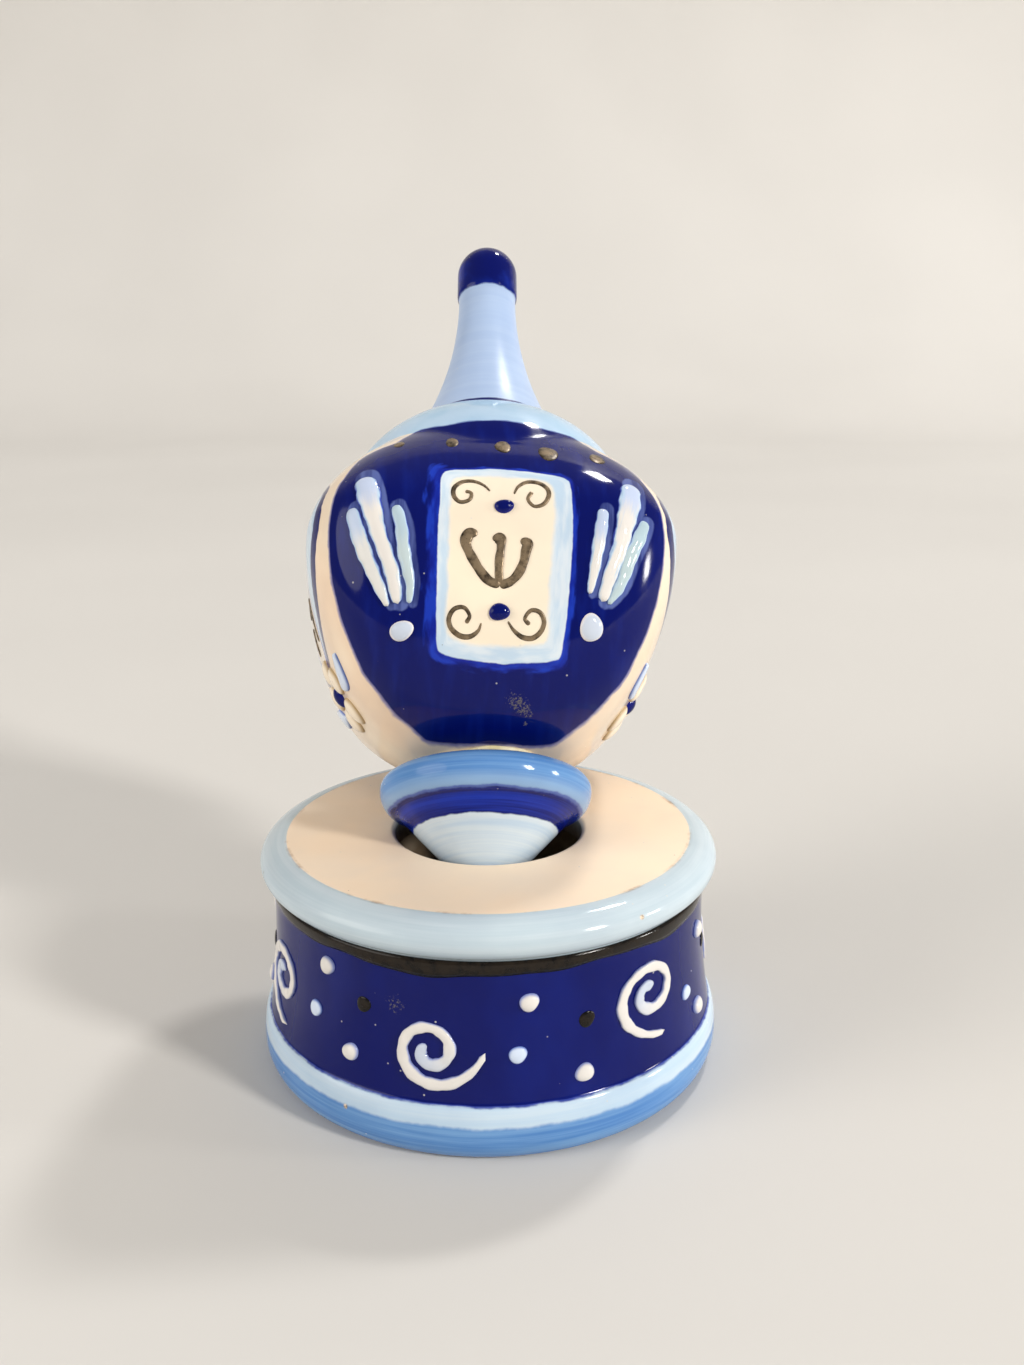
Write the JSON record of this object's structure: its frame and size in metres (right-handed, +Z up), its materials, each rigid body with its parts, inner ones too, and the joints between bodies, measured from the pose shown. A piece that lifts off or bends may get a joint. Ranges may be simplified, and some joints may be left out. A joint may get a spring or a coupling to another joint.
{
  "type": "dreidel on a stand",
  "caption": "Painted ceramic dreidel with a flared stem and a pointed foot, leaning in the hole of a round drum stand; it lifts out of the stand and spins about its own axis.",
  "frame": {"origin": "middle of the stand's flat underside, on the table", "axes": "+Z up out of the table; the dreidel leans back towards +Y and shows its front face to -Y; +X is to the right of someone looking at the front"},
  "size_m": [0.069, 0.0937, 0.1189],
  "materials": {
    "stand_glaze": "gloss, dark blue wall, pale blue rim and flange, cream top",
    "foot_glaze": "gloss, medium blue bead, dark blue band, pale blue point",
    "body_glaze": "gloss, dark blue panels on a cream ground",
    "stem_glaze": "satin, lavender with a dark blue cap",
    "lustre": "brown-gold metal lustre",
    "white_enamel": "gloss, raised white enamel",
    "pale_blue_enamel": "gloss, raised pale blue enamel",
    "blue_enamel": "gloss, raised dark blue enamel",
    "cream_enamel": "gloss, raised cream enamel",
    "glue": "clear glue, yellowed"
  },
  "bodies": {
    "stand": {"stand": "stand_glaze", "stand_lustre_line": "lustre", "stand_spirals": "white_enamel", "stand_white_dots": "white_enamel", "stand_blue_dots": "pale_blue_enamel", "stand_lustre_dots": "lustre"},
    "foot": {"foot": "foot_glaze"},
    "dreidel": {"foot_glue": "glue", "body": "body_glaze", "stem": "stem_glaze", "mark_shin": "lustre", "mark_nun": "lustre", "mark_gimel": "lustre", "mark_hei": "lustre", "corner_scrolls": "lustre", "tile_beads": "blue_enamel", "ray_strokes": "white_enamel", "ray_dots": "pale_blue_enamel", "shoulder_dots": "lustre", "flower_petals": "cream_enamel", "flower_centres": "blue_enamel", "flower_leaves": "pale_blue_enamel"}
  },
  "joints": [
    {"name": "lift", "type": "slide", "parent": "stand", "child": "foot", "axis": [0, 0.6088, 0.7934], "range_m": [0, 0.045]},
    {"name": "spin", "type": "hinge", "parent": "foot", "child": "dreidel", "pos_m": [-0.0003, -0.00244, 0.04015], "axis": [0, 0.6088, 0.7934], "continuous": true}
  ]
}
